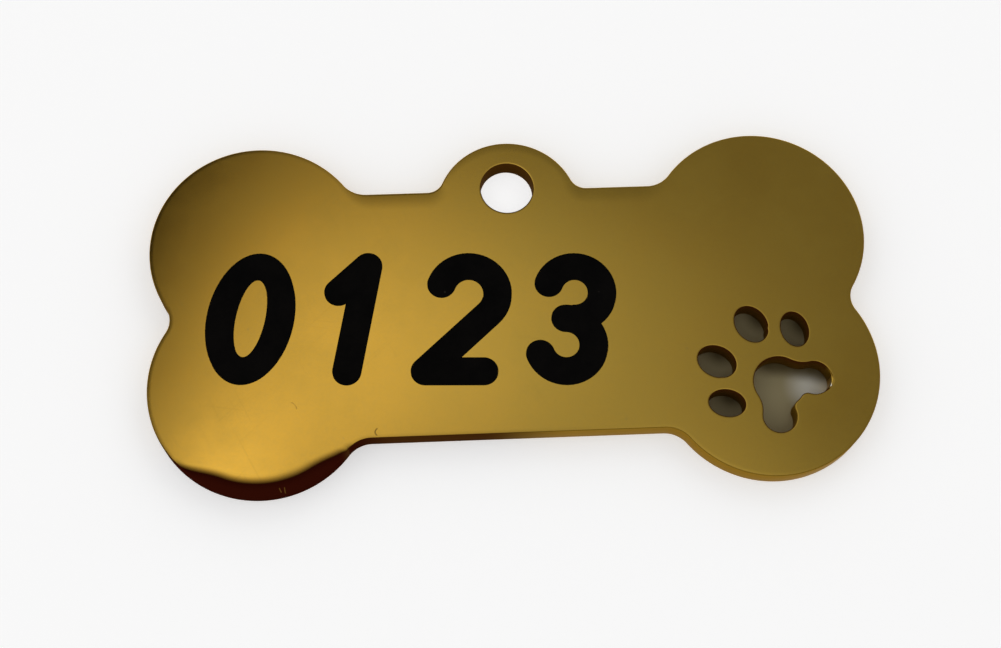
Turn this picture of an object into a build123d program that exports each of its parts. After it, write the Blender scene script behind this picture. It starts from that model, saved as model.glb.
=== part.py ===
from build123d import *
import os
from math import acos, atan2, cos, degrees, radians, sin, sqrt, tan

# A bone-shaped pet identity tag: one polished plate with a ring hole and a cut-out paw,
# and a row of engraved numerals filled with black enamel.
# The tag lies on its back: +X along the bone, +Y towards the ring hole, +Z out of the engraved face.

# Plate outline
tag_length = 50.0
tag_height = 25.0
plate_thickness = 1.6
lobe_radius = 7.55
shaft_height = 17.7
end_notch_fillet = 1.6
lobe_flank_fillet = 2.0

# Hanging lug and ring hole
lug_rise = 3.6
lug_radius = 5.0
lug_foot_fillet = 1.2
ring_hole_diameter = 3.7
ring_hole_wall = 1.6

# Tumbled edges
outer_edge_roll = 0.15
rim_edge_roll = 0.08

# Cut-out paw, placed from the centre of the lower right lobe
paw_shift_x = 0.54
paw_shift_y = -0.94
paw_turn = 45.0
pad_crown_radius = 1.77
pad_heel_radius = 1.15
pad_heel_drop = 1.58
pad_heel_spread = 1.85
pad_flank_fillet = 2.0
heel_notch_share = 0.78
inner_toe_length = 2.7
inner_toe_width = 2.15
inner_toe_reach = 4.08
inner_toe_spread = 1.84
inner_toe_lean = 17.0
outer_toe_length = 2.5
outer_toe_width = 1.87
outer_toe_reach = 1.65
outer_toe_spread = 3.62
outer_toe_lean = 33.0

# Engraved numerals, spaced evenly between the left notch and the paw, with margins counted in gaps
numeral_height = 9.6
numeral_width = 6.0
stroke_width = 2.0
numeral_lean = 10.0
flag_drop = 1.9
hook_angle = 160.0
notch_margin_gaps = 1.6
paw_margin_gaps = 4.2
row_drop = 0.45
row_turn = -2.0
engraving_depth = 0.3
enamel_sink = 0.04
enamel_side_gap = 0.02

# Places that follow from the sizes above
lobe_x = tag_length / 2 - lobe_radius
lobe_y = tag_height / 2 - lobe_radius
shaft_edge = shaft_height / 2
lug_top = shaft_edge + lug_rise
lug_y = lug_top - lug_radius
ring_hole_y = lug_top - ring_hole_wall - ring_hole_diameter / 2
heel_notch_fillet = heel_notch_share * (pad_heel_spread - pad_heel_radius)
paw_plane = Plane(
    origin=(lobe_x + paw_shift_x, -lobe_y + paw_shift_y, 0),
    x_dir=(cos(radians(paw_turn)), sin(radians(paw_turn)), 0),
)
touch = 1e-4


def on_shaft_edge(corner):
    return abs(abs(corner.Y) - shaft_edge) < touch


def at_end_notch(corner):
    return abs(corner.Y) < touch and abs(corner.X) > lobe_x


def at_lug_foot(corner):
    return on_shaft_edge(corner) and corner.Y > 0 and abs(corner.X) < lug_radius


with BuildSketch() as bone:
    Rectangle(2 * lobe_x, shaft_height)
    with GridLocations(2 * lobe_x, 2 * lobe_y, 2, 2):
        Circle(lobe_radius)
    fillet(bone.vertices().filter_by(at_end_notch), end_notch_fillet)
    fillet(bone.vertices().filter_by(on_shaft_edge), lobe_flank_fillet)
    with Locations((0, lug_y)):
        Circle(lug_radius)
    fillet(bone.vertices().filter_by(at_lug_foot), lug_foot_fillet)

with BuildSketch(paw_plane) as paw:
    Circle(pad_crown_radius)
    with Locations((pad_heel_spread, -pad_heel_drop), (-pad_heel_spread, -pad_heel_drop)):
        Circle(pad_heel_radius)
    fillet(paw.vertices().group_by(Axis.Y)[-1], pad_flank_fillet)
    fillet(paw.vertices().group_by(Axis.Y)[0], heel_notch_fillet)
    for side in (1, -1):
        with Locations((side * inner_toe_spread, inner_toe_reach)):
            Ellipse(inner_toe_width / 2, inner_toe_length / 2, rotation=-side * inner_toe_lean)
        with Locations((side * outer_toe_spread, outer_toe_reach)):
            Ellipse(outer_toe_width / 2, outer_toe_length / 2, rotation=-side * outer_toe_lean)

# The numerals stand in one row and are drawn with one round pen
numerals = ("zero", "one", "two", "three")
last_place = len(numerals) - 1
notch_x = -lobe_x - sqrt(lobe_radius**2 - lobe_y**2)
free_run = paw.sketch.bounding_box().min.X - notch_x - len(numerals) * numeral_width
numeral_gap = free_run / (last_place + notch_margin_gaps + paw_margin_gaps)
numeral_step = numeral_width + numeral_gap
row_centre_x = notch_x + notch_margin_gaps * numeral_gap + (numeral_width + last_place * numeral_step) / 2
half_run = (numeral_width - stroke_width) / 2
half_rise = (numeral_height - stroke_width) / 2


def numeral_plane(place, height):
    along = (place - last_place / 2) * numeral_step
    turn_x = cos(radians(row_turn))
    turn_y = sin(radians(row_turn))
    return Plane(
        origin=(row_centre_x + along * turn_x, -row_drop + along * turn_y, height),
        x_dir=(turn_x, turn_y, 0),
    )


def leaning(x, y):
    return (x + y * tan(radians(numeral_lean)), y)


def draw_zero(pen):
    Ellipse(half_run + pen / 2, half_rise + pen / 2, rotation=-numeral_lean)
    Ellipse(half_run - pen / 2, half_rise - pen / 2, rotation=-numeral_lean, mode=Mode.SUBTRACT)


def draw_one(pen):
    head = leaning(0, half_rise)
    with BuildLine(mode=Mode.PRIVATE) as stem:
        Polyline((head[0] - half_run, half_rise - flag_drop), head, leaning(0, -half_rise))
    SlotArc(stem.wire(), pen)


def draw_two(pen):
    bow_centre = Vector(leaning(0, half_rise - half_run))
    foot = Vector(leaning(-half_run, -half_rise))
    reach = foot - bow_centre
    bow_end = degrees(atan2(reach.Y, reach.X) + acos(half_run / reach.length))
    with BuildLine(mode=Mode.PRIVATE) as swan:
        bow = CenterArc(bow_centre, half_run, hook_angle, bow_end - hook_angle)
        Polyline(bow @ 1, foot, leaning(half_run, -half_rise))
    SlotArc(swan.wire(), pen)


def draw_three(pen):
    bowl = half_rise / 2
    for side in (1, -1):
        with BuildLine(mode=Mode.PRIVATE) as half:
            CenterArc(leaning(0, side * bowl), bowl, side * hook_angle, -side * (hook_angle + 90))
        SlotArc(half.wire(), pen)


draw_numeral = dict(zip(numerals, (draw_zero, draw_one, draw_two, draw_three)))


def numeral_sketch(name, height, pen):
    with BuildSketch(numeral_plane(numerals.index(name), height)) as numeral:
        draw_numeral[name](pen)
    return numeral.sketch


with BuildPart() as tag_plate:
    add(bone.sketch)
    extrude(amount=plate_thickness)
    fillet(tag_plate.edges().group_by(Axis.Z)[0], outer_edge_roll)
    fillet(tag_plate.edges().group_by(Axis.Z)[-1], outer_edge_roll)
    with BuildSketch():
        with Locations((0, ring_hole_y)):
            Circle(ring_hole_diameter / 2)
        add(paw.sketch)
    extrude(amount=plate_thickness, mode=Mode.SUBTRACT)
    back = tag_plate.faces().sort_by(Axis.Z)[0]
    front = tag_plate.faces().sort_by(Axis.Z)[-1]
    fillet([rim.edges() for face in (back, front) for rim in face.inner_wires()], rim_edge_roll)
    for name in numerals:
        extrude(
            numeral_sketch(name, plate_thickness, stroke_width),
            amount=-engraving_depth,
            mode=Mode.SUBTRACT,
        )

os.makedirs("parts", exist_ok=True)
tag_plate.part.label = "tag_plate"
export_step(tag_plate.part, "parts/tag_plate.step")

for name in numerals:
    with BuildPart() as enamel:
        extrude(
            numeral_sketch(name, plate_thickness - engraving_depth, stroke_width - 2 * enamel_side_gap),
            amount=engraving_depth - enamel_sink,
        )
    enamel.part.label = f"numeral_{name}_enamel"
    export_step(enamel.part, f"parts/{enamel.part.label}.step")
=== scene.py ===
import math

import bmesh
import bpy
from mathutils import Matrix, Vector
from mathutils.geometry import delaunay_2d_cdt


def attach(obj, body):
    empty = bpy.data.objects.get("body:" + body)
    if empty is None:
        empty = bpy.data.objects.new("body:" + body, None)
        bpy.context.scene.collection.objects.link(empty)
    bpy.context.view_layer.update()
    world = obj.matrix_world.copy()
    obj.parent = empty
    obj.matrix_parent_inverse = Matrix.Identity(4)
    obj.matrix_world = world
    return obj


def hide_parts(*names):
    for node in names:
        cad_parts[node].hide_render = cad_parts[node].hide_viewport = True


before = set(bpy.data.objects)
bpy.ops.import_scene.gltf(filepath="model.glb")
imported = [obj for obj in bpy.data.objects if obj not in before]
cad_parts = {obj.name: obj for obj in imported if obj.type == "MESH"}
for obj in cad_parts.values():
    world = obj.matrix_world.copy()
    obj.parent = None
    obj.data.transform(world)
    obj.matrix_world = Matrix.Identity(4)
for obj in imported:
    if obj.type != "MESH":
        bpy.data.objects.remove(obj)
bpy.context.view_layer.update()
scene = bpy.context.scene

# The tag's shapes are drawn in millimetres and scaled to metres at the end
MM = 0.001

# Plate outline, as in the part
TAG_LENGTH = 50.0
TAG_HEIGHT = 25.0
PLATE_THICKNESS = 1.6
LOBE_RADIUS = 7.55
SHAFT_HEIGHT = 17.7
END_NOTCH_FILLET = 1.6
LOBE_FLANK_FILLET = 2.0
LUG_RISE = 3.6
LUG_RADIUS = 5.0
LUG_FOOT_FILLET = 1.2
RING_HOLE_RADIUS = 1.85
RING_HOLE_WALL = 1.6

# Cut-out paw, as in the part
PAW_SHIFT = (0.54, -0.94)
PAW_TURN = math.radians(45)
PAD_CROWN_RADIUS = 1.77
PAD_HEEL_RADIUS = 1.15
PAD_HEEL = (1.85, -1.58)
PAD_FLANK_FILLET = 2.0
HEEL_NOTCH_FILLET = 0.546
INNER_TOE = (1.84, 4.08)
INNER_TOE_SIZE = (2.15, 2.7)
INNER_TOE_LEAN = math.radians(17)
OUTER_TOE = (3.62, 1.65)
OUTER_TOE_SIZE = (1.87, 2.5)
OUTER_TOE_LEAN = math.radians(33)

# Places that follow from the sizes above
LOBE_X = TAG_LENGTH / 2 - LOBE_RADIUS
LOBE_Y = TAG_HEIGHT / 2 - LOBE_RADIUS
SHAFT_EDGE = SHAFT_HEIGHT / 2
LUG_TOP = SHAFT_EDGE + LUG_RISE
LUG_Y = LUG_TOP - LUG_RADIUS
RING_HOLE_Y = LUG_TOP - RING_HOLE_WALL - RING_HOLE_RADIUS
PAW_CENTRE = Vector((LOBE_X + PAW_SHIFT[0], -LOBE_Y + PAW_SHIFT[1]))

# Mesh of the edges: spacing of the points, steps over the lips and rolls, and a flat ring beside each
OUTLINE_STEP = 0.16
RIM_STEP = 0.06
BACK_LIP_STEPS = 4
FRONT_LIP_STEPS = 5
ROLL_STEPS = 10
GUARD = 0.08
SHARP_ANGLE = math.radians(35)

# Each edge has a round lip above the wall, then a wide shallow roll up to the flat of the face
OUTER_LIP = 0.05
OUTER_ROLL = 0.30
OUTER_DROP = 0.004
RIM_LIP = 0.05
RIM_ROLL = 0.14
RIM_DROP = 0.008
ENGRAVING_DEPTH = 0.3

# The walls facing the lower side get the full cut finish, rougher and painted darker as painted shade;
# the others keep most of their coat
BACK_CUT_AND_SHADE = 0.25
FRONT_FACING = (-0.3, 0.4)

# The top edge is softer than the rest, but less so around the lug
TOP_ROLL = 1.2
TOP_DROP = 0.015
TOP_REACH = (9.5, 12.0)
LUG_FROM = (9.3, 10.5)
LUG_CRISPNESS = 0.6

# The edge under the lower left lobe is worn down, with a dark reflection painted on its roll
WORN_ROLL = 1.45
WORN_DROP = 0.045
WORN_LEAN = (-0.079, 1.0)
WORN_FACING = (0.58, 0.90)
WORN_START = (11.1, 11.8)
DARK_REFLECTION_DEPTH = 0.98
DARK_REFLECTION_FADE = (-0.75, 0.42)
DARK_REFLECTION_TIP_SPREAD = 0.2
DARK_REFLECTION_FULL_SPREAD = 0.6
DARK_REFLECTION_FULL_TONE = 0.15

# Marks that cutting and handling left on the paw's rims
BURRS = ((17.47, -2.03), (14.07, -5.29))
BURR_HEIGHT = 0.08
BURR_WIDTH = 0.14
BRIGHT_NICK = (21.45, -6.0)
BRIGHT_NICK_WIDTH = 0.55
BRIGHT_NICK_LIP = 0.15

# Short marks on the face: centre, turn in degrees, half width and half length, and bow
HOOK_NICK = ((-9.68, -8.42), 0.0, (0.055, 0.30), 3.6)
CURL_NICK = ((-15.03, -6.33), 35.0, (0.05, 0.35), -2.5)
FIRST_SCUFF = ((-16.05, -12.16), 25.0, (0.045, 0.20), 0.0)
SECOND_SCUFF = ((-15.75, -12.16), 8.0, (0.045, 0.22), 0.0)
BARED_PATCH = (BRIGHT_NICK, 0.0, (0.14, 0.38), 0.0)

# How much painted shade the walls carry, from bare metal at 0 to a brown-black painted shade at 1
PAW_PAINTED_SHADE = 0.95
# In the paw, the painted shade keeps this share at the wall's foot
PAW_FOOT_PAINTED_SHADE = 0.5
# Less painted shade on the pad's walls that face left, painted light from the left
PAD_SIDE_PAINTED_SHADE = 0.35
PAD_SIDE_FACING = (0.7, 0.95)
RING_HOLE_PAINTED_SHADE = 0.85
LOBE_PAINTED_SHADE = 1.0
LOBE_PAINTED_SHADE_FROM = (8.0, 11.5)
SHAFT_PAINTED_SHADE = 0.9
SHAFT_PAINTED_SHADE_FROM = (-4.0, 2.5)
PAINTED_SHADE_FACING = (0.3, 0.7)

# Colours of the finishes
GOLD_WARM = (0.775, 0.440, 0.056, 1)
GOLD_OLIVE = (0.735, 0.475, 0.074, 1)
GOLD_DUST = (0.52, 0.37, 0.13, 1)
GOLD_NICK = (0.30, 0.16, 0.03, 1)
BARE_STEEL = (0.92, 0.88, 0.78, 1)
# Darker gold of the cut walls, partly painted shade
CUT_METAL_AND_SHADE = (0.29, 0.165, 0.019, 1)
# Brown-black painted shade on the walls
PAINTED_WALL_SHADE = (0.044, 0.0058, 0.0022, 1)
GRAZING_TINT = (0.80, 0.66, 0.45, 1)
ENAMEL_DARK = (0.0012, 0.0010, 0.0009, 1)
ENAMEL_PALE = (0.0030, 0.0024, 0.0020, 1)
ENAMEL_DUST = (0.10, 0.09, 0.07, 1)

# Where along the tag the coat turns from warm to olive, in millimetres
COAT_DRIFT = (-16.0, 6.0)

# Grain of the finishes: scales of the patterns per metre, heights of the bumps in metres
GOLD_HAZE_SCALE = 160.0
GOLD_SCRATCH_SCALE = 220.0
GOLD_SPECK_SCALE = 1100.0
GOLD_GRAIN_SCALE = 5200.0
GOLD_WAVE_SCALE = 110.0
WAVE_HEIGHT = 6e-6
GRAIN_HEIGHT = 2e-7
MARK_DEPTH = 2.5e-6
ENAMEL_HAZE_SCALE = 500.0
ENAMEL_SPECK_SCALE = 1500.0
ENAMEL_SKIN_HEIGHT = 3e-6

# Roughness of the finishes, as a range or as what a mark adds
GOLD_ROUGHNESS = (0.11, 0.15)
SCRATCH_ROUGHNESS = 0.02
SCUFF_ROUGHNESS = 0.22
CUT_ROUGHNESS = 0.28
ENAMEL_ROUGHNESS = (0.42, 0.58)

# The plain light of the room, a little uneven all round and dimmer overhead
SIDE_LEVEL = 0.78
OVERHEAD_LEVEL = 0.46
OVERHEAD_FROM = (0.3, 0.95)
STRIP_SCALE = 4.0
STRIP_STRETCH = (1, 1, 0.3)
STRIP_NOISE = (0.3, 0.7)
STRIP_LEVELS = (0.55, 1.15)
BACKDROP = (0.92, 0.92, 0.92, 1)

# The dim panel with soft glows that the face mirrors, as centres, radii and levels on a ceiling one
# unit above the tag, with one dark corner
HORIZON = 0.05
PANEL_CENTRE = (0.05, 0.42, 0)
PANEL_RADII = (0.28, 0.24)
PANEL_FADE = (1.0, 2.2)
PANEL_LEVEL = 0.168
BROAD_GLOW = ((-0.479, 0.312, 0), (0.791, 0.224), 1.66)
LEFT_GLOW = ((-0.144, 0.227, 0), (0.077, 0.077), 1.2)
RIGHT_GLOW = ((0.157, 0.168, 0), (0.116, 0.116), 0.447)
CORNER_SLOPE = (0.960, -0.279, 0)
CORNER_FADE = (-0.292, -0.133)

# Lamps: place in metres, size in metres and radiance
LEFT_LAMP = ((-0.40, -0.10, 0.28), 0.5, 0.30)
RIGHT_LAMP = ((0.34, 0.28, 0.26), 0.5, 0.28)

# The pale floor, in metres, and the painted shade and painted light on it under the holes, its spots
# and reaches in millimetres
FLOOR_HALF = 1.5
FLOOR_SINK = 2e-5
FLOOR = (0.9, 0.9, 0.9, 1)
FLOOR_LIFT = (0.43, 0.43, 0.43, 1)
# Brighter lift near the ring hole: painted light on the floor seen through it
RING_HOLE_PAINTED_LIGHT = (0.68, 0.68, 0.68, 1)
RING_HOLE_PAINTED_LIGHT_REACH = (2.0, 2.4)
# Painted shade on the floor under the paw, where it has no lift
PAINTED_PAW_SHADE = (0.43, 0.365, 0.205, 1)
PAW_FLOOR_LIFT = (0, 0, 0, 1)
PAW_FLOOR_REACH = (5.8, 6.4)
# Painted light on the floor under the pad's right arm
PAINTED_PAD_LIGHT = (0.92, 0.90, 0.78, 1)
PAINTED_PAD_LIGHT_SPOT = (20.7, -5.8)
PAINTED_PAD_LIGHT_REACH = (0.3, 2.4)
# Deeper painted shade under the paw's walls, at the spots below
PAINTED_DEEP_SHADE = (0.13, 0.10, 0.045, 1)
PAINTED_DEEP_SHADE_REACH = (0.3, 1.6)
PAINTED_DEEP_SHADE_SPOTS = (
    (17.5, -0.6),
    (20.5, -1.2),
    (14.4, -3.0),
    (14.9, -6.2),
    (17.7, -3.8),
    (18.7, -3.9),
    (19.7, -4.1),
    (20.7, -4.3),
    (21.7, -4.7),
)

# The photograph's frame and a camera fitted to it
PHOTO_WIDTH_PIXELS = 1001
FOCAL_LENGTH_PIXELS = 1717.5
SENSOR_WIDTH = 36.0
CAMERA_DISTANCE = 0.120
CAMERA_SLIDE = (0.00081, 0.00055)
TAG_TIP = math.radians(-18.175)
TAG_SWING = math.radians(2.519)
TAG_ROLL = math.radians(2.731)


# A loop is a list of points, each with the direction into the metal, which lies to its left


def walk_arc(centre, radius, start, end, step=OUTLINE_STEP):
    count = max(2, math.ceil(abs(end - start) * radius / step))
    bulge = 1 if end > start else -1
    steps = []
    for k in range(count):
        angle = start + (end - start) * k / count
        out = Vector((math.cos(angle), math.sin(angle)))
        steps.append((Vector(centre) + radius * out, -bulge * out))
    return steps


def walk_line(start, end):
    start, end = Vector(start), Vector(end)
    along = (end - start).normalized()
    count = max(1, math.ceil((end - start).length / OUTLINE_STEP))
    return [(start.lerp(end, k / count), Vector((-along.y, along.x))) for k in range(count)]


def close_by_mirror(half, last):
    """Right half of a loop from its lowest to its highest point, plus the same on the left."""
    right = half + [last]
    left = [(Vector((-p.x, p.y)), Vector((-n.x, n.y))) for p, n in reversed(right[1:-1])]
    return right + left


def as_hole(loop):
    return [(point, -inward) for point, inward in reversed(loop)]


def bearing(start, end):
    return math.atan2(end[1] - start[1], end[0] - start[0])


def touching_centre(first, first_radius, second, second_radius, radius):
    """Centre of a circle that touches two others from outside, on the left of first to second."""
    first, second = Vector(first), Vector(second)
    span = (second - first).length
    reach, other = first_radius + radius, second_radius + radius
    along = (reach**2 - other**2 + span**2) / (2 * span)
    aside = math.sqrt(reach**2 - along**2)
    line = (second - first) / span
    return first + along * line + aside * Vector((-line.y, line.x))


def bone_loop():
    low_lobe, high_lobe = (LOBE_X, -LOBE_Y), (LOBE_X, LOBE_Y)
    rise = SHAFT_EDGE + LOBE_FLANK_FILLET - LOBE_Y
    flank_x = LOBE_X - math.sqrt((LOBE_RADIUS + LOBE_FLANK_FILLET) ** 2 - rise**2)
    low_flank = (flank_x, -SHAFT_EDGE - LOBE_FLANK_FILLET)
    high_flank = (flank_x, SHAFT_EDGE + LOBE_FLANK_FILLET)
    notch = (LOBE_X + math.sqrt((LOBE_RADIUS + END_NOTCH_FILLET) ** 2 - LOBE_Y**2), 0)
    lug = (0, LUG_Y)
    foot_y = SHAFT_EDGE + LUG_FOOT_FILLET
    foot = (math.sqrt((LUG_RADIUS + LUG_FOOT_FILLET) ** 2 - (foot_y - LUG_Y) ** 2), foot_y)
    quarter, half = math.pi / 2, math.pi
    to_lobe = bearing(low_flank, low_lobe)
    to_notch = bearing(low_lobe, notch)
    to_lug = bearing(foot, lug)
    steps = walk_line((0, -SHAFT_EDGE), (flank_x, -SHAFT_EDGE))
    steps += walk_arc(low_flank, LOBE_FLANK_FILLET, quarter, to_lobe)
    steps += walk_arc(low_lobe, LOBE_RADIUS, to_lobe - half, to_notch)
    steps += walk_arc(notch, END_NOTCH_FILLET, half + to_notch, half - to_notch)
    steps += walk_arc(high_lobe, LOBE_RADIUS, -to_notch, half - to_lobe)
    steps += walk_arc(high_flank, LOBE_FLANK_FILLET, -to_lobe, -quarter)
    steps += walk_line((flank_x, SHAFT_EDGE), (foot[0], SHAFT_EDGE))
    steps += walk_arc(foot, LUG_FOOT_FILLET, -quarter, to_lug)
    steps += walk_arc(lug, LUG_RADIUS, to_lug + half, quarter)
    return close_by_mirror(steps, (Vector((0, LUG_TOP)), Vector((0, -1))))


def pad_loop():
    crown, heel = (0, 0), PAD_HEEL
    notch = touching_centre(heel, PAD_HEEL_RADIUS, crown, PAD_CROWN_RADIUS, HEEL_NOTCH_FILLET)
    flank = touching_centre(crown, PAD_CROWN_RADIUS, heel, PAD_HEEL_RADIUS, PAD_FLANK_FILLET)
    quarter = math.pi / 2
    arcs = [
        (crown, PAD_CROWN_RADIUS, -quarter, bearing(crown, notch)),
        (notch, HEEL_NOTCH_FILLET, bearing(notch, crown), bearing(notch, heel)),
        (heel, PAD_HEEL_RADIUS, bearing(heel, notch), bearing(heel, flank)),
        (flank, PAD_FLANK_FILLET, bearing(flank, heel) + math.tau, bearing(flank, crown) + math.tau),
        (crown, PAD_CROWN_RADIUS, bearing(crown, flank), quarter),
    ]
    steps = [step for arc in arcs for step in walk_arc(*arc, RIM_STEP)]
    return close_by_mirror(steps, (Vector((0, PAD_CROWN_RADIUS)), Vector((0, -1))))


def toe_loop(centre, size, lean):
    across, along = size[0] / 2, size[1] / 2
    count = math.ceil(math.pi * (across + along) / RIM_STEP)
    turn = Matrix.Rotation(lean, 2)
    steps = []
    for k in range(count):
        c, s = math.cos(math.tau * k / count), math.sin(math.tau * k / count)
        point = turn @ Vector((across * c, along * s)) + Vector(centre)
        inward = turn @ -Vector((c / across, s / along)).normalized()
        steps.append((point, inward))
    return steps


def paw_loops():
    loops = [pad_loop()]
    for side in (1, -1):
        inner = (side * INNER_TOE[0], INNER_TOE[1])
        outer = (side * OUTER_TOE[0], OUTER_TOE[1])
        loops.append(toe_loop(inner, INNER_TOE_SIZE, -side * INNER_TOE_LEAN))
        loops.append(toe_loop(outer, OUTER_TOE_SIZE, -side * OUTER_TOE_LEAN))
    turn = Matrix.Rotation(PAW_TURN, 2)
    turned = [as_hole([(turn @ p + PAW_CENTRE, turn @ n) for p, n in loop]) for loop in loops]
    return [with_burrs(loop) for loop in turned]


def with_burrs(loop):
    """Small burrs that the cutting left on the paw's rims, standing out into the holes."""
    burred = []
    for point, inward in loop:
        height = sum(BURR_HEIGHT * near(point, burr, BURR_WIDTH) for burr in BURRS)
        burred.append((point - height * inward, inward))
    return burred


def ring_hole_loop():
    return as_hole(walk_arc((0, RING_HOLE_Y), RING_HOLE_RADIUS, 0, math.tau, RIM_STEP))


def pocket_rims():
    """The engraved figures' rims, read from the part's plate, each with the metal on its left."""
    weld, touch = 1e-7, 1e-6
    upright, level = 0.1, 0.9
    bm = bmesh.new()
    bm.from_mesh(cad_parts["tag_plate"].data)
    bmesh.ops.remove_doubles(bm, verts=bm.verts, dist=weld)
    bm.normal_update()
    top = PLATE_THICKNESS * MM
    ahead = {}
    for edge in bm.edges:
        if any(abs(vert.co.z - top) > touch for vert in edge.verts):
            continue
        walls = [face for face in edge.link_faces if abs(face.normal.z) < upright]
        flats = [loop for loop in edge.link_loops if loop.face.normal.z > level]
        if walls and flats:
            ahead[flats[0].vert.index] = flats[0].link_loop_next.vert.index
    places = [Vector((vert.co.x / MM, vert.co.y / MM)) for vert in bm.verts]
    bm.free()
    rims = []
    while ahead:
        rim = [next(iter(ahead))]
        while rim[-1] in ahead:
            rim.append(ahead.pop(rim[-1]))
        rims.append([places[number] for number in rim[:-1]])
    return rims


def near(point, place, width):
    return math.exp(-((point - Vector(place)).length_squared) / width**2)


def share_of(value, low, high):
    return min(max((value - low) / (high - low), 0), 1)


def ease(value, low, high):
    share = share_of(value, low, high)
    return share * share * (3 - 2 * share)


def edge_profile(lip, roll, drop, cut_and_shade=1.0, dark_reflection=0.0):
    """Inset, height and cut finish of an edge, from the back, up the wall and on to the face; the cut
    finish also paints the walls darker, as painted shade.

    On a worn edge a dark reflection is painted on the roll, dark at its lip and clearing around its
    depth.
    """
    depth = DARK_REFLECTION_DEPTH * ease(dark_reflection, 0.0, 1.0)
    spread = DARK_REFLECTION_TIP_SPREAD + (1 - DARK_REFLECTION_TIP_SPREAD) * ease(dark_reflection, 0.0, DARK_REFLECTION_FULL_SPREAD)
    fade = [spread * limit for limit in DARK_REFLECTION_FADE]
    tone = ease(dark_reflection, 0.0, DARK_REFLECTION_FULL_TONE)
    profile = [(lip + GUARD, 0.0, 0.0)]
    for k in range(BACK_LIP_STEPS + 1):
        share = k / BACK_LIP_STEPS
        angle = share * math.pi / 2
        profile.append((lip * (1 - math.sin(angle)), lip * (1 - math.cos(angle)), cut_and_shade * share))
    slope = math.atan(2 * drop * (roll - lip) / roll**2)
    inset = lip * (1 - math.sin(slope))
    height = PLATE_THICKNESS - drop * ((roll - inset) / roll) ** 2
    lip_foot = height - lip * math.cos(slope)
    for k in range(FRONT_LIP_STEPS + 1):
        angle = k / FRONT_LIP_STEPS * (math.pi / 2 - slope)
        profile.append((lip * (1 - math.cos(angle)), lip_foot + lip * math.sin(angle), cut_and_shade))
    for k in range(1, ROLL_STEPS + 1):
        here = inset + (roll - inset) * k / ROLL_STEPS
        height = PLATE_THICKNESS - drop * ((roll - here) / roll) ** 2
        # On a worn edge, a dark reflection is painted on the roll
        profile.append((here, height, tone * (1 - ease(here - depth, *fade))))
    profile.append((roll + GUARD, PLATE_THICKNESS, 0.0))
    return profile


def paw_profile(point):
    """The paw's rims are crisp, apart from one bright nick on the pad's right arm."""
    bright = near(point, BRIGHT_NICK, BRIGHT_NICK_WIDTH)
    worn = BRIGHT_NICK_LIP * bright
    return edge_profile(RIM_LIP + worn, RIM_ROLL + worn, RIM_DROP, 1 - bright)


def outer_profile(point, inward):
    """The edge is rolled lightly, softer along the top and worn down under the lower left lobe, where
    a dark reflection is painted on it.
    """
    facing = share_of(inward.dot(Vector(WORN_LEAN)), *WORN_FACING)
    worn = ease(-point.x, *WORN_START) * facing
    soft = (1 - ease(abs(point.x), *TOP_REACH)) * max(-inward.y, 0)
    soft *= 1 - LUG_CRISPNESS * ease(point.y, *LUG_FROM)
    roll = OUTER_ROLL + (WORN_ROLL - OUTER_ROLL) * worn + (TOP_ROLL - OUTER_ROLL) * soft
    drop = OUTER_DROP + (WORN_DROP - OUTER_DROP) * worn + (TOP_DROP - OUTER_DROP) * soft
    # Walls facing the lower side get the full cut finish, with its painted darkening
    cut_and_shade = BACK_CUT_AND_SHADE + (1 - BACK_CUT_AND_SHADE) * ease(inward.y, *FRONT_FACING)
    return edge_profile(OUTER_LIP, roll, drop, cut_and_shade, worn)


def outer_painted_shade(point, inward):
    """Painted shade on the front wall only, most under the left lobe and none towards the right."""
    under_lobe = ease(-point.x, *LOBE_PAINTED_SHADE_FROM)
    level = SHAFT_PAINTED_SHADE + (LOBE_PAINTED_SHADE - SHAFT_PAINTED_SHADE) * under_lobe
    return level * ease(-point.x, *SHAFT_PAINTED_SHADE_FROM) * ease(inward.y, *PAINTED_SHADE_FACING)


def pad_painted_shade(inward):
    """The pad's walls carry painted shade, less where they face left, as painted light from the left.
    """
    return PAW_PAINTED_SHADE + (PAD_SIDE_PAINTED_SHADE - PAW_PAINTED_SHADE) * ease(inward.x, *PAD_SIDE_FACING)


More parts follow.
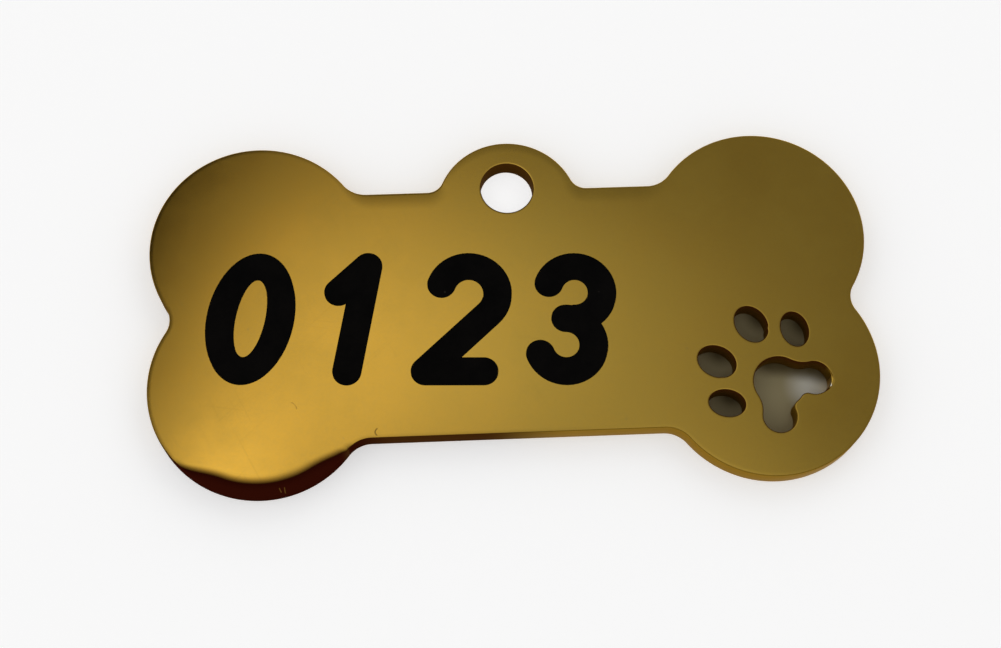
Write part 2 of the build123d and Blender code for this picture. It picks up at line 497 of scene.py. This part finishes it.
class Shell:
    """Points and faces of one closed mesh."""

    def __init__(self):
        self.points = []
        self.cuts_and_shades = []
        self.painted_shades = []
        self.faces = []

    def ring(self, places, cuts_and_shades=None, painted_shades=None):
        first = len(self.points)
        self.points += [Vector(place) for place in places]
        self.cuts_and_shades += cuts_and_shades or [0.0] * len(places)
        self.painted_shades += painted_shades or [0.0] * len(places)
        return list(range(first, len(self.points)))

    def bridge(self, lower, upper):
        for k in range(len(lower)):
            following = (k + 1) % len(lower)
            self.faces.append((lower[k], lower[following], upper[following], upper[k]))

    def fill(self, rings, upward):
        """Flat face on the left of the rings, spread from triangle to triangle up to the next ring."""
        numbers = [number for ring in rings for number in ring]
        edges = []
        for ring in rings:
            first = len(edges)
            edges += [(first + k, first + (k + 1) % len(ring)) for k in range(len(ring))]
        flat = [self.points[number].to_2d() for number in numbers]
        whole_hull, touch = 0, 1e-6
        _, _, triangles, sources, _, _ = delaunay_2d_cdt(flat, edges, [], whole_hull, touch)
        owner = {}
        for triangle in triangles:
            a, b, c = (sources[k][0] for k in triangle)
            if (flat[b] - flat[a]).cross(flat[c] - flat[a]) < 0:
                b, c = c, b
            for side in ((a, b), (b, c), (c, a)):
                owner[side] = (a, b, c)
        borders = set(edges) | {(end, start) for start, end in edges}
        waiting = [owner[edge] for edge in edges]
        kept = set()
        while waiting:
            a, b, c = triangle = waiting.pop()
            if triangle in kept:
                continue
            kept.add(triangle)
            for start, end in ((a, b), (b, c), (c, a)):
                if (start, end) not in borders:
                    waiting.append(owner[(end, start)])
        for triangle in sorted(kept):
            corners = [numbers[k] for k in triangle]
            self.faces.append(tuple(corners if upward else reversed(corners)))

    def to_object(self, name):
        mesh = bpy.data.meshes.new(name)
        mesh.from_pydata([point * MM for point in self.points], [], self.faces)
        # Attributes for the material: the cut finish with its painted darkening, and the walls'
        # painted shade
        for label, values in (("cut_wall_and_shade", self.cuts_and_shades), ("wall_painted_shade", self.painted_shades)):
            mesh.attributes.new(label, "FLOAT", "POINT").data.foreach_set("value", values)
        mesh.shade_smooth()
        mesh.set_sharp_from_angle(angle=SHARP_ANGLE)
        piece = bpy.data.objects.new(name, mesh)
        scene.collection.objects.link(piece)
        return piece


def build_plate():
    """The whole plate: edges first, then the engraved pockets, then the flats between them.

    Each edge is a loop, its profiles, the painted shade on its wall, and the share of it at the wall's
    foot.
    """
    shell = Shell()
    backs, fronts = [], []
    even_painted_shade = 1.0
    outer = bone_loop()
    outer_profiles = [outer_profile(*step) for step in outer]
    outer_painted_shades = [outer_painted_shade(*step) for step in outer]
    ring_hole = ring_hole_loop()
    crisp = edge_profile(RIM_LIP, RIM_ROLL, RIM_DROP)
    pad, *toes = paw_loops()
    pad_painted_shades = [pad_painted_shade(inward) for _, inward in pad]
    edges = [
        (outer, outer_profiles, outer_painted_shades, even_painted_shade),
        (ring_hole, [crisp] * len(ring_hole), [RING_HOLE_PAINTED_SHADE] * len(ring_hole), even_painted_shade),
        (pad, [paw_profile(point) for point, _ in pad], pad_painted_shades, PAW_FOOT_PAINTED_SHADE),
    ]
    for toe in toes:
        toe_profiles = [paw_profile(point) for point, _ in toe]
        edges.append((toe, toe_profiles, [PAW_PAINTED_SHADE] * len(toe), PAW_FOOT_PAINTED_SHADE))
    for loop, profiles, wall_painted_shades, foot in edges:
        rings = []
        for level in range(len(profiles[0])):
            places, cuts_and_shades, painted_shades = [], [], []
            for (point, inward), profile, painted_shade in zip(loop, profiles, wall_painted_shades):
                inset, height, cut_and_shade = profile[level]
                places.append((*(point + inset * inward), height))
                cuts_and_shades.append(cut_and_shade)
                # The wall's painted shade, weakened towards its foot by the foot share
                painted_shades.append(painted_shade * (foot + (1 - foot) * height / PLATE_THICKNESS))
            rings.append(shell.ring(places, cuts_and_shades, painted_shades))
        for lower, upper in zip(rings, rings[1:]):
            shell.bridge(lower, upper)
        backs.append(rings[0])
        fronts.append(rings[-1])
    floors = []
    for rim in pocket_rims():
        floor = shell.ring([(*place, PLATE_THICKNESS - ENGRAVING_DEPTH) for place in rim])
        face = shell.ring([(*place, PLATE_THICKNESS) for place in rim])
        shell.bridge(floor, face)
        floors.append(floor)
        fronts.append(face)
    shell.fill(backs, upward=False)
    shell.fill(fronts, upward=True)
    shell.fill([floor[::-1] for floor in floors], upward=True)
    return shell.to_object("gold_tag_plate")


def add_node(tree, kind, inputs=None, **settings):
    node = tree.nodes.new(kind)
    for name, value in settings.items():
        setattr(node, name, value)
    for name, value in (inputs or {}).items():
        if isinstance(value, bpy.types.NodeSocket):
            tree.links.new(value, node.inputs[name])
        else:
            node.inputs[name].default_value = value
    return node


def new_group(name, inputs, outputs):
    tree = bpy.data.node_groups.new(name, "ShaderNodeTree")
    for socket_name, kind, value in inputs:
        socket = tree.interface.new_socket(socket_name, in_out="INPUT", socket_type=kind)
        if value is not None:
            socket.default_value = value
    for socket_name in outputs:
        tree.interface.new_socket(socket_name, in_out="OUTPUT", socket_type="NodeSocketFloat")
    return tree, tree.nodes.new("NodeGroupInput").outputs, tree.nodes.new("NodeGroupOutput").inputs


def map_range(tree, value, start, end, low, high, kind="SMOOTHSTEP"):
    levels = {"Value": value, 1: start, 2: end, 3: low, 4: high}
    return add_node(tree, "ShaderNodeMapRange", levels, interpolation_type=kind).outputs[0]


def maths(tree, operation, first, second):
    return add_node(tree, "ShaderNodeMath", {0: first, 1: second}, operation=operation).outputs[0]


def vector_maths(tree, operation, inputs, output=0):
    return add_node(tree, "ShaderNodeVectorMath", inputs, operation=operation).outputs[output]


def noise(tree, place, scale, detail=2.0):
    settings = {"Vector": place, "Scale": scale, "Detail": detail}
    return add_node(tree, "ShaderNodeTexNoise", settings).outputs["Fac"]


def blend_colour(tree, share, first, second):
    settings = {0: share, 6: first, 7: second}
    return add_node(tree, "ShaderNodeMix", settings, data_type="RGBA").outputs[2]


def polish_haze_group():
    """Cloudy patches that the last buffing leaves in a finish."""
    inputs = [("Place", "NodeSocketVector", None), ("Scale", "NodeSocketFloat", 400.0)]
    tree, given, result = new_group("polish_haze", inputs, ["Haze"])
    broad = noise(tree, given["Place"], given["Scale"], 3.0)
    tight = noise(tree, given["Place"], maths(tree, "MULTIPLY", given["Scale"], 6.0), 2.0)
    broad_part = maths(tree, "MULTIPLY", broad, 0.75)
    tight_part = maths(tree, "MULTIPLY", tight, 0.25)
    both = maths(tree, "ADD", broad_part, tight_part)
    tree.links.new(map_range(tree, both, 0.3, 0.7, 0.0, 1.0), result["Haze"])
    return tree


def fine_scratches_group():
    """Hairlines in three directions, gathered in loose patches."""
    inputs = [("Place", "NodeSocketVector", None), ("Scale", "NodeSocketFloat", 300.0)]
    tree, given, result = new_group("fine_scratches", inputs, ["Scratch"])
    turns_and_shifts = ((0.15, 0.0), (1.1, 3.7), (2.4, 8.1))
    slimness = 45
    total = 0.0
    for turn, shift in turns_and_shifts:
        heading = {"Vector": given["Place"], "Rotation": (0, 0, turn)}
        turned = add_node(tree, "ShaderNodeMapping", heading).outputs[0]
        stretched = vector_maths(tree, "MULTIPLY", {0: turned, 1: (1, slimness, 1)})
        moved = vector_maths(tree, "ADD", {0: stretched, 1: (shift, shift, 0)})
        line = map_range(tree, noise(tree, moved, given["Scale"], 0.0), 0.72, 0.80, 0.0, 1.0)
        total = maths(tree, "MAXIMUM", total, line)
    patch = map_range(tree, noise(tree, given["Place"], given["Scale"], 1.0), 0.42, 0.62, 0.0, 1.0)
    tree.links.new(maths(tree, "MULTIPLY", total, patch), result["Scratch"])
    return tree


def dust_specks_group():
    """Sparse round specks of dust."""
    inputs = [
        ("Place", "NodeSocketVector", None),
        ("Scale", "NodeSocketFloat", 900.0),
        ("Share", "NodeSocketFloat", 0.08),
    ]
    tree, given, result = new_group("dust_specks", inputs, ["Speck"])
    cells = add_node(tree, "ShaderNodeTexVoronoi", {"Vector": given["Place"], "Scale": given["Scale"]})
    dot = map_range(tree, cells.outputs["Distance"], 0.05, 0.13, 1.0, 0.0)
    draw = add_node(tree, "ShaderNodeSeparateColor", {"Color": cells.outputs["Color"]}).outputs[0]
    picked = maths(tree, "LESS_THAN", draw, given["Share"])
    tree.links.new(maths(tree, "MULTIPLY", dot, picked), result["Speck"])
    return tree


def short_nick(tree, place, centre, turn, size, bow):
    """Mask of one short bowed mark on the face, placed and sized in millimetres."""
    settings = {
        "Vector": place,
        "Location": (centre[0] * MM, centre[1] * MM, PLATE_THICKNESS * MM),
        "Rotation": (0, 0, math.radians(turn)),
        "Scale": (size[0] * MM, size[1] * MM, MM),
    }
    nearby = add_node(tree, "ShaderNodeMapping", settings, vector_type="TEXTURE").outputs[0]
    across, along, below = add_node(tree, "ShaderNodeSeparateXYZ", {"Vector": nearby}).outputs
    bend = maths(tree, "MULTIPLY", maths(tree, "MULTIPLY", along, along), bow)
    aside = maths(tree, "ABSOLUTE", maths(tree, "SUBTRACT", across, bend), 0.0)
    line = map_range(tree, aside, 0.3, 1.0, 1.0, 0.0)
    ends = map_range(tree, maths(tree, "ABSOLUTE", along, 0.0), 0.7, 1.0, 1.0, 0.0)
    front = map_range(tree, below, -0.5, -0.3, 0.0, 1.0)
    return maths(tree, "MULTIPLY", maths(tree, "MULTIPLY", line, ends), front)


def start_material(name):
    material = bpy.data.materials.new(name)
    material.use_nodes = True
    tree = material.node_tree
    return material, tree, tree.nodes["Principled BSDF"]


def bump(tree, height, distance, normal=None, sunk=False):
    inputs = {"Height": height, "Distance": distance}
    if normal is not None:
        inputs["Normal"] = normal
    return add_node(tree, "ShaderNodeBump", inputs, invert=sunk).outputs[0]


def place_group(tree, group, place, **values):
    inputs = {"Place": place, **values}
    return add_node(tree, "ShaderNodeGroup", inputs, node_tree=group).outputs[0]


def polished_gold(haze_group, scratch_group, dust_group):
    material, tree, shader = start_material("polished_gold")
    place = add_node(tree, "ShaderNodeTexCoord").outputs["Object"]
    # Attributes of the plate: the cut finish with its painted darkening, and the walls' painted shade
    cut_and_shade = add_node(tree, "ShaderNodeAttribute", attribute_name="cut_wall_and_shade").outputs["Fac"]
    painted_shade = add_node(tree, "ShaderNodeAttribute", attribute_name="wall_painted_shade").outputs["Fac"]
    haze = place_group(tree, haze_group, place, Scale=GOLD_HAZE_SCALE)
    scratch = place_group(tree, scratch_group, place, Scale=GOLD_SCRATCH_SCALE)
    speck = place_group(tree, dust_group, place, Scale=GOLD_SPECK_SCALE, Share=0.03)
    grain = noise(tree, place, GOLD_GRAIN_SCALE, 3.0)
    faint_curl = maths(tree, "MULTIPLY", short_nick(tree, place, *CURL_NICK), 0.45)
    nick = maths(tree, "MAXIMUM", short_nick(tree, place, *HOOK_NICK), faint_curl)
    first_scuff = short_nick(tree, place, *FIRST_SCUFF)
    second_scuff = short_nick(tree, place, *SECOND_SCUFF)
    scuff = maths(tree, "MAXIMUM", first_scuff, second_scuff)
    bared = short_nick(tree, place, *BARED_PATCH)

    along = add_node(tree, "ShaderNodeSeparateXYZ", {"Vector": place}).outputs["X"]
    drift = map_range(tree, along, COAT_DRIFT[0] * MM, COAT_DRIFT[1] * MM, 0.0, 0.75)
    tone = maths(tree, "ADD", drift, maths(tree, "MULTIPLY", haze, 0.25))
    coat = blend_colour(tree, tone, GOLD_WARM, GOLD_OLIVE)
    grain_tint = map_range(tree, grain, 0.35, 0.75, 0.0, 0.10)
    grained = blend_colour(tree, grain_tint, coat, GOLD_DUST)
    dusty = blend_colour(tree, maths(tree, "MULTIPLY", speck, 0.35), grained, GOLD_DUST)
    nicked = blend_colour(tree, maths(tree, "MULTIPLY", nick, 0.8), dusty, GOLD_NICK)
    # Wall colour: the cut metal, turning to brown-black painted shade where the walls carry it,
    # lighter where scuffed
    scuffed_wall_shade = blend_colour(tree, maths(tree, "MULTIPLY", scuff, 0.5), PAINTED_WALL_SHADE, GOLD_NICK)
    wall = blend_colour(tree, painted_shade, CUT_METAL_AND_SHADE, scuffed_wall_shade)
    # The cut finish paints the walls darker towards the wall colour, as painted shade
    darkened = map_range(tree, cut_and_shade, 0.0, 0.5, 0.0, 1.0, "LINEAR")
    walled = blend_colour(tree, darkened, nicked, wall)
    tree.links.new(blend_colour(tree, bared, walled, BARE_STEEL), shader.inputs["Base Color"])

    rough = map_range(tree, haze, 0.0, 1.0, *GOLD_ROUGHNESS, "LINEAR")
    for mark, added in ((scratch, SCRATCH_ROUGHNESS), (scuff, SCUFF_ROUGHNESS), (cut_and_shade, CUT_ROUGHNESS)):
        rough = maths(tree, "ADD", rough, maths(tree, "MULTIPLY", mark, added))
    tree.links.new(rough, shader.inputs["Roughness"])
    # Where fully cut walls carry painted shade, they turn from metal to dull brown-black
    bare_of_metal = map_range(tree, cut_and_shade, 0.5, 1.0, 0.0, 1.0, "LINEAR")
    painted_shade_dullness = maths(tree, "MULTIPLY", bare_of_metal, painted_shade)
    tree.links.new(maths(tree, "SUBTRACT", 1.0, painted_shade_dullness), shader.inputs["Metallic"])
    shader.inputs["Specular IOR Level"].default_value = 0.0
    shader.inputs["Specular Tint"].default_value = GRAZING_TINT

    waves = noise(tree, place, GOLD_WAVE_SCALE, 1.0)
    marks = maths(tree, "MAXIMUM", nick, maths(tree, "MULTIPLY", scratch, 0.006))
    wavy = bump(tree, waves, WAVE_HEIGHT)
    satin = bump(tree, grain, GRAIN_HEIGHT, wavy)
    dented = bump(tree, marks, MARK_DEPTH, satin, sunk=True)
    tree.links.new(dented, shader.inputs["Normal"])
    return material


def black_enamel(haze_group, dust_group):
    material, tree, shader = start_material("black_enamel")
    place = add_node(tree, "ShaderNodeTexCoord").outputs["Object"]
    haze = place_group(tree, haze_group, place, Scale=ENAMEL_HAZE_SCALE)
    speck = place_group(tree, dust_group, place, Scale=ENAMEL_SPECK_SCALE, Share=0.05)
    pigment = blend_colour(tree, haze, ENAMEL_DARK, ENAMEL_PALE)
    dusty = blend_colour(tree, maths(tree, "MULTIPLY", speck, 0.25), pigment, ENAMEL_DUST)
    tree.links.new(dusty, shader.inputs["Base Color"])
    rough = map_range(tree, haze, 0.0, 1.0, *ENAMEL_ROUGHNESS, "LINEAR")
    tree.links.new(rough, shader.inputs["Roughness"])
    shader.inputs["Specular IOR Level"].default_value = 0.04
    tree.links.new(bump(tree, haze, ENAMEL_SKIN_HEIGHT), shader.inputs["Normal"])
    return material


def pale_floor():
    """Pale board, near white to the camera and the metal, with painted shade under the paw and painted
    light under the ring hole and at the pad's right arm.
    """
    material, tree, shader = start_material("pale_floor")
    place = add_node(tree, "ShaderNodeTexCoord").outputs["Object"]
    shader.inputs["Roughness"].default_value = 0.9
    shader.inputs["Specular IOR Level"].default_value = 0.0

    def within(spot, inner, outer):
        centre = (spot[0] * MM, spot[1] * MM, 0)
        away = vector_maths(tree, "DISTANCE", {0: place, 1: centre}, "Value")
        return map_range(tree, away, inner * MM, outer * MM, 1.0, 0.0)

    under_paw = within(PAW_CENTRE, *PAW_FLOOR_REACH)
    under_ring_hole = within((0, RING_HOLE_Y), *RING_HOLE_PAINTED_LIGHT_REACH)
    # Painted shade under the paw, with painted light at the pad's right arm and deeper painted shade
    # at the spots
    painted_paw_floor = blend_colour(tree, within(PAINTED_PAD_LIGHT_SPOT, *PAINTED_PAD_LIGHT_REACH), PAINTED_PAW_SHADE, PAINTED_PAD_LIGHT)
    clear_of_painted_shade = 1.0
    for spot in PAINTED_DEEP_SHADE_SPOTS:
        outside_spot = maths(tree, "SUBTRACT", 1.0, within(spot, *PAINTED_DEEP_SHADE_REACH))
        clear_of_painted_shade = maths(tree, "MULTIPLY", clear_of_painted_shade, outside_spot)
    painted_paw_floor = blend_colour(tree, clear_of_painted_shade, PAINTED_DEEP_SHADE, painted_paw_floor)
    tree.links.new(blend_colour(tree, under_paw, FLOOR, painted_paw_floor), shader.inputs["Base Color"])
    # Painted light: the floor glows brighter near the ring hole, and not at all under the paw
    lift = blend_colour(tree, under_ring_hole, FLOOR_LIFT, RING_HOLE_PAINTED_LIGHT)
    lift = blend_colour(tree, under_paw, lift, PAW_FLOOR_LIFT)
    path = add_node(tree, "ShaderNodeLightPath").outputs
    seen = maths(tree, "MAXIMUM", path["Is Camera Ray"], path["Is Glossy Ray"])
    seen = maths(tree, "MAXIMUM", seen, path["Is Transmission Ray"])
    glow = add_node(tree, "ShaderNodeEmission", {"Color": lift, "Strength": seen}).outputs[0]
    both = add_node(tree, "ShaderNodeAddShader", {0: shader.outputs[0], 1: glow}).outputs[0]
    tree.links.new(both, tree.nodes["Material Output"].inputs["Surface"])
    return material


def add_camera():
    data = bpy.data.cameras.new("camera")
    data.sensor_width = SENSOR_WIDTH
    data.lens = FOCAL_LENGTH_PIXELS / PHOTO_WIDTH_PIXELS * SENSOR_WIDTH
    data.clip_start = 0.005
    camera = bpy.data.objects.new("camera", data)
    scene.collection.objects.link(camera)
    tip = Matrix.Rotation(TAG_TIP, 4, "X")
    swing = Matrix.Rotation(TAG_SWING, 4, "Y")
    roll = Matrix.Rotation(TAG_ROLL, 4, "Z")
    push = Matrix.Translation((*CAMERA_SLIDE, -CAMERA_DISTANCE))
    camera.matrix_world = (push @ roll @ tip @ swing).inverted()
    scene.camera = camera


def add_lamp(name, place, size, radiance):
    data = bpy.data.lights.new(name, "AREA")
    data.size = size
    data.energy = radiance * math.pi * size**2
    lamp = bpy.data.objects.new(name, data)
    scene.collection.objects.link(lamp)
    lamp.location = place
    lamp.rotation_mode = "QUATERNION"
    lamp.rotation_quaternion = (-Vector(place)).to_track_quat("-Z", "Y")


def add_floor():
    signs = ((-1, -1), (1, -1), (1, 1), (-1, 1))
    corners = [(x * FLOOR_HALF, y * FLOOR_HALF, -FLOOR_SINK) for x, y in signs]
    mesh = bpy.data.meshes.new("floor")
    mesh.from_pydata(corners, [], [(0, 1, 2, 3)])
    mesh.materials.append(pale_floor())
    floor = bpy.data.objects.new("floor", mesh)
    scene.collection.objects.link(floor)


def light_the_room():
    """Plain soft light all round, with one dimmer panel overhead that has soft glows on it."""
    world = bpy.data.worlds.new("studio")
    scene.world = world
    world.use_nodes = True
    tree = world.node_tree
    tree.nodes.clear()
    direction = add_node(tree, "ShaderNodeTexCoord").outputs["Generated"]
    height = add_node(tree, "ShaderNodeSeparateXYZ", {"Vector": direction}).outputs["Z"]
    stretch = maths(tree, "DIVIDE", 1.0, maths(tree, "MAXIMUM", height, HORIZON))
    ceiling = vector_maths(tree, "SCALE", {0: direction, "Scale": stretch})

    def reach(centre, radii):
        offset = vector_maths(tree, "SUBTRACT", {0: ceiling, 1: centre})
        shaped = vector_maths(tree, "MULTIPLY", {0: offset, 1: (1 / radii[0], 1 / radii[1], 0)})
        return vector_maths(tree, "LENGTH", {0: shaped}, "Value")

    glows = PANEL_LEVEL
    for centre, radii, level in (BROAD_GLOW, LEFT_GLOW, RIGHT_GLOW):
        glow = map_range(tree, reach(centre, radii), 0.0, 1.0, level, 0.0)
        glows = maths(tree, "ADD", glows, glow)
    slope = vector_maths(tree, "DOT_PRODUCT", {0: ceiling, 1: CORNER_SLOPE}, "Value")
    corner = map_range(tree, slope, *CORNER_FADE, 0.0, 1.0)
    panel = maths(tree, "MULTIPLY", glows, corner)

    even = map_range(tree, height, *OVERHEAD_FROM, SIDE_LEVEL, OVERHEAD_LEVEL)
    upright = vector_maths(tree, "MULTIPLY", {0: direction, 1: STRIP_STRETCH})
    uneven = noise(tree, upright, STRIP_SCALE, 0.0)
    strips = map_range(tree, uneven, *STRIP_NOISE, *STRIP_LEVELS)
    plain = maths(tree, "MULTIPLY", even, strips)

    outside = map_range(tree, reach(PANEL_CENTRE, PANEL_RADII), *PANEL_FADE, 0.0, 1.0)
    level = add_node(tree, "ShaderNodeMix", {0: outside, 2: panel, 3: plain}).outputs[0]
    white = (1, 1, 1, 1)
    room = add_node(tree, "ShaderNodeBackground", {"Color": white, "Strength": level}).outputs[0]
    backdrop = add_node(tree, "ShaderNodeBackground", {"Color": BACKDROP, "Strength": 1.0}).outputs[0]
    seen = add_node(tree, "ShaderNodeLightPath").outputs["Is Camera Ray"]
    mixed = add_node(tree, "ShaderNodeMixShader", {0: seen, 1: room, 2: backdrop}).outputs[0]
    add_node(tree, "ShaderNodeOutputWorld", {"Surface": mixed})


haze_group = polish_haze_group()
scratch_group = fine_scratches_group()
dust_group = dust_specks_group()

enamel = black_enamel(haze_group, dust_group)
for name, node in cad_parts.items():
    if name.endswith("_enamel"):
        node.data.materials.clear()
        node.data.materials.append(enamel)

plate = build_plate()
plate.data.materials.append(polished_gold(haze_group, scratch_group, dust_group))
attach(plate, "root")
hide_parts("tag_plate")

add_camera()
add_floor()
light_the_room()
add_lamp("left_lamp", *LEFT_LAMP)
add_lamp("right_lamp", *RIGHT_LAMP)
scene.view_settings.view_transform = "Standard"
